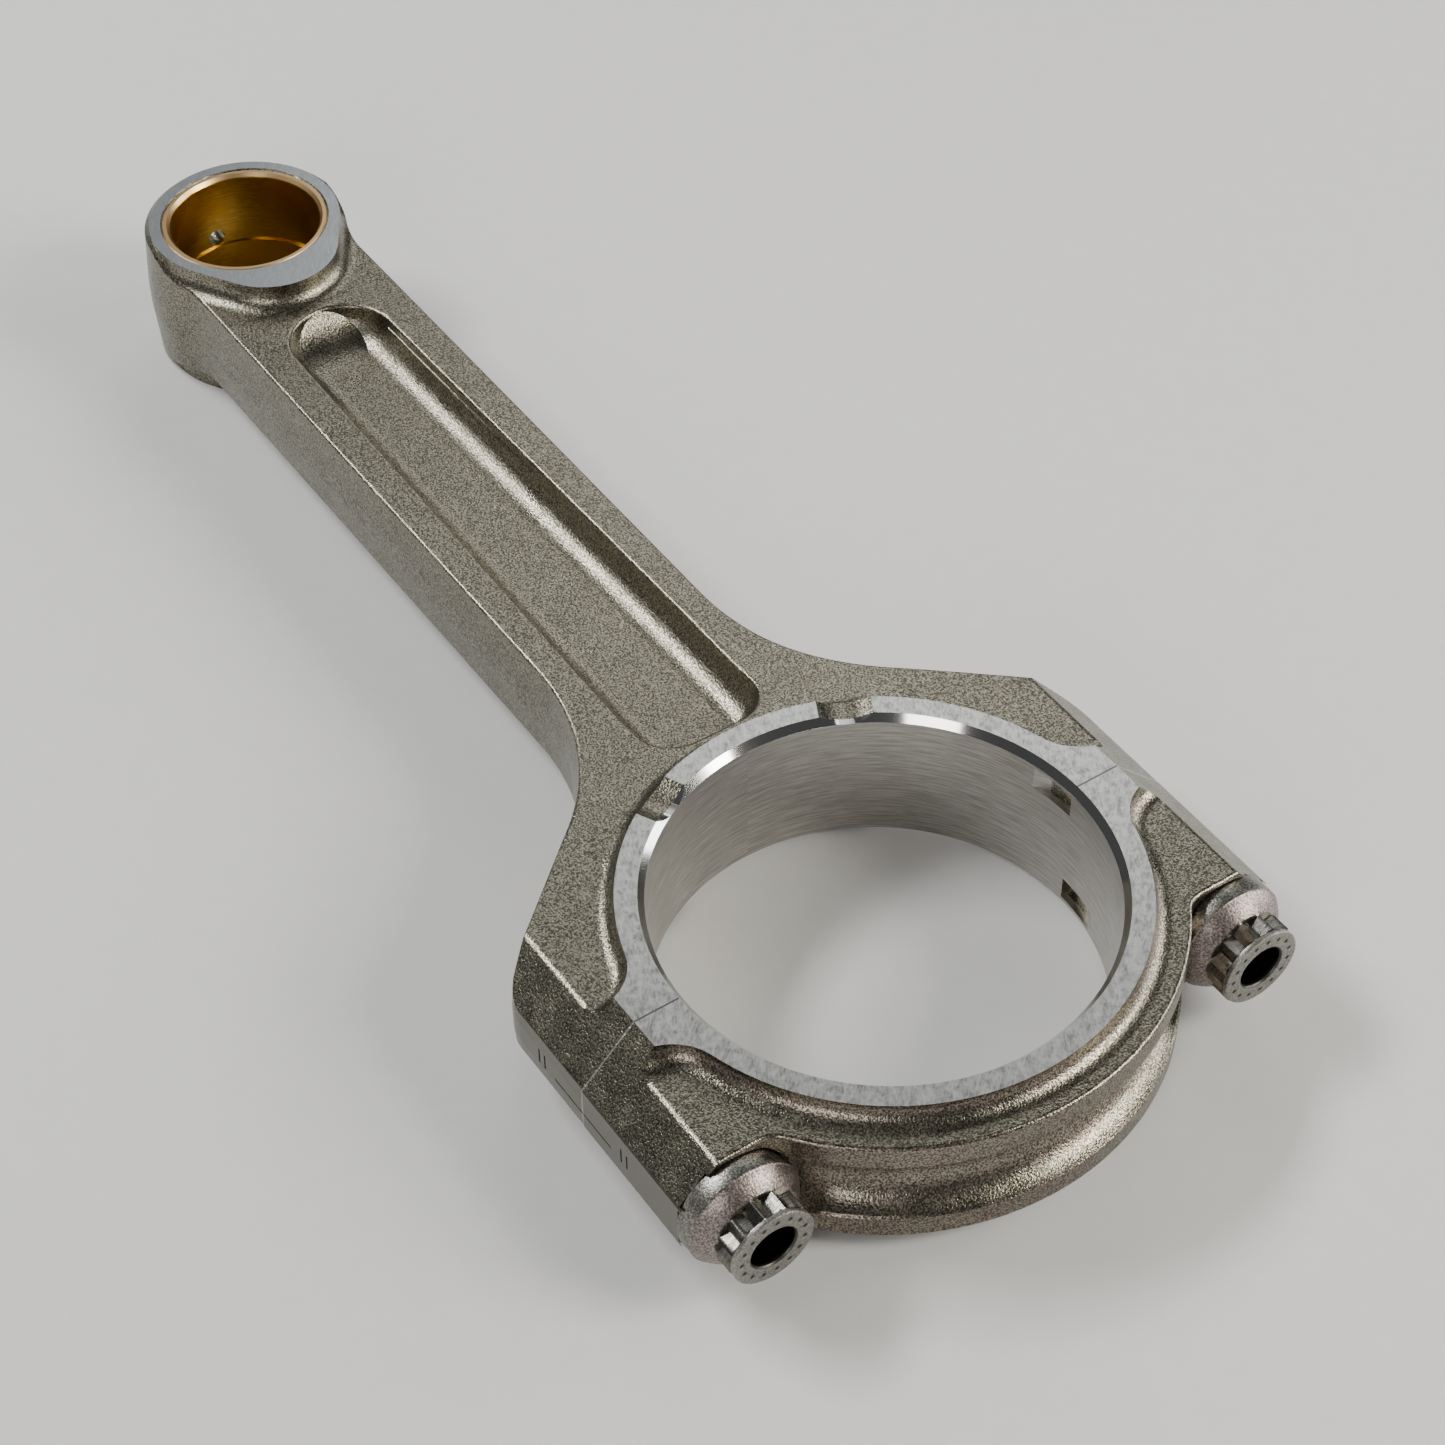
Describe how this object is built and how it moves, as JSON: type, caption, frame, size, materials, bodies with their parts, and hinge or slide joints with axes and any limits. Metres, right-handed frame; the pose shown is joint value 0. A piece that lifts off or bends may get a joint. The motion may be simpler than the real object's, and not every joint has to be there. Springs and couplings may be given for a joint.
{
  "type": "connecting rod",
  "caption": "Forged I-section connecting rod with a bushed small end and a ribbed, bolt-on bearing cap that unscrews from the big end.",
  "frame": {"origin": "centre of the big-end bore on the rod's middle plane", "axes": "+Z along the big-end bore axis; the small end lies towards -X; +X runs from the small end through the joint face and the bearing cap"},
  "size_m": [0.2107, 0.0864, 0.0214],
  "materials": {
    "forged_steel": "shot-peened forging with ground thrust faces and a honed bore",
    "cap_steel": "shot-peened forging with ground thrust faces and a honed bore",
    "bush_bronze": "bored bronze",
    "sleeve_steel": "ground",
    "bolt_steel": "dark satin, cold headed"
  },
  "bodies": {
    "rod": {"rod_forging": "forged_steel", "small_end_bush": "bush_bronze", "alignment_sleeve_left": "sleeve_steel", "alignment_sleeve_right": "sleeve_steel"},
    "cap": {"bearing_cap": "cap_steel"},
    "bolt_left": {"cap_bolt_left": "bolt_steel"},
    "bolt_right": {"cap_bolt_right": "bolt_steel"}
  },
  "joints": [
    {"name": "cap_slide", "type": "slide", "parent": "rod", "child": "cap", "axis": [1, 0, 0], "range_m": [0, 0.0125]},
    {"name": "bolt_left_turn", "type": "hinge", "parent": "cap", "child": "bolt_left", "pos_m": [0, -0.0357, 0], "axis": [1, 0, 0], "range_deg": [0, 4500]},
    {"name": "bolt_right_turn", "type": "hinge", "parent": "cap", "child": "bolt_right", "pos_m": [0, 0.0357, 0], "axis": [1, 0, 0], "range_deg": [0, 4500]}
  ],
  "couplings": [
    {"joint": "bolt_left_turn", "follows": "cap_slide", "rad_per_m": 6283.2},
    {"joint": "bolt_right_turn", "follows": "cap_slide", "rad_per_m": 6283.2}
  ]
}
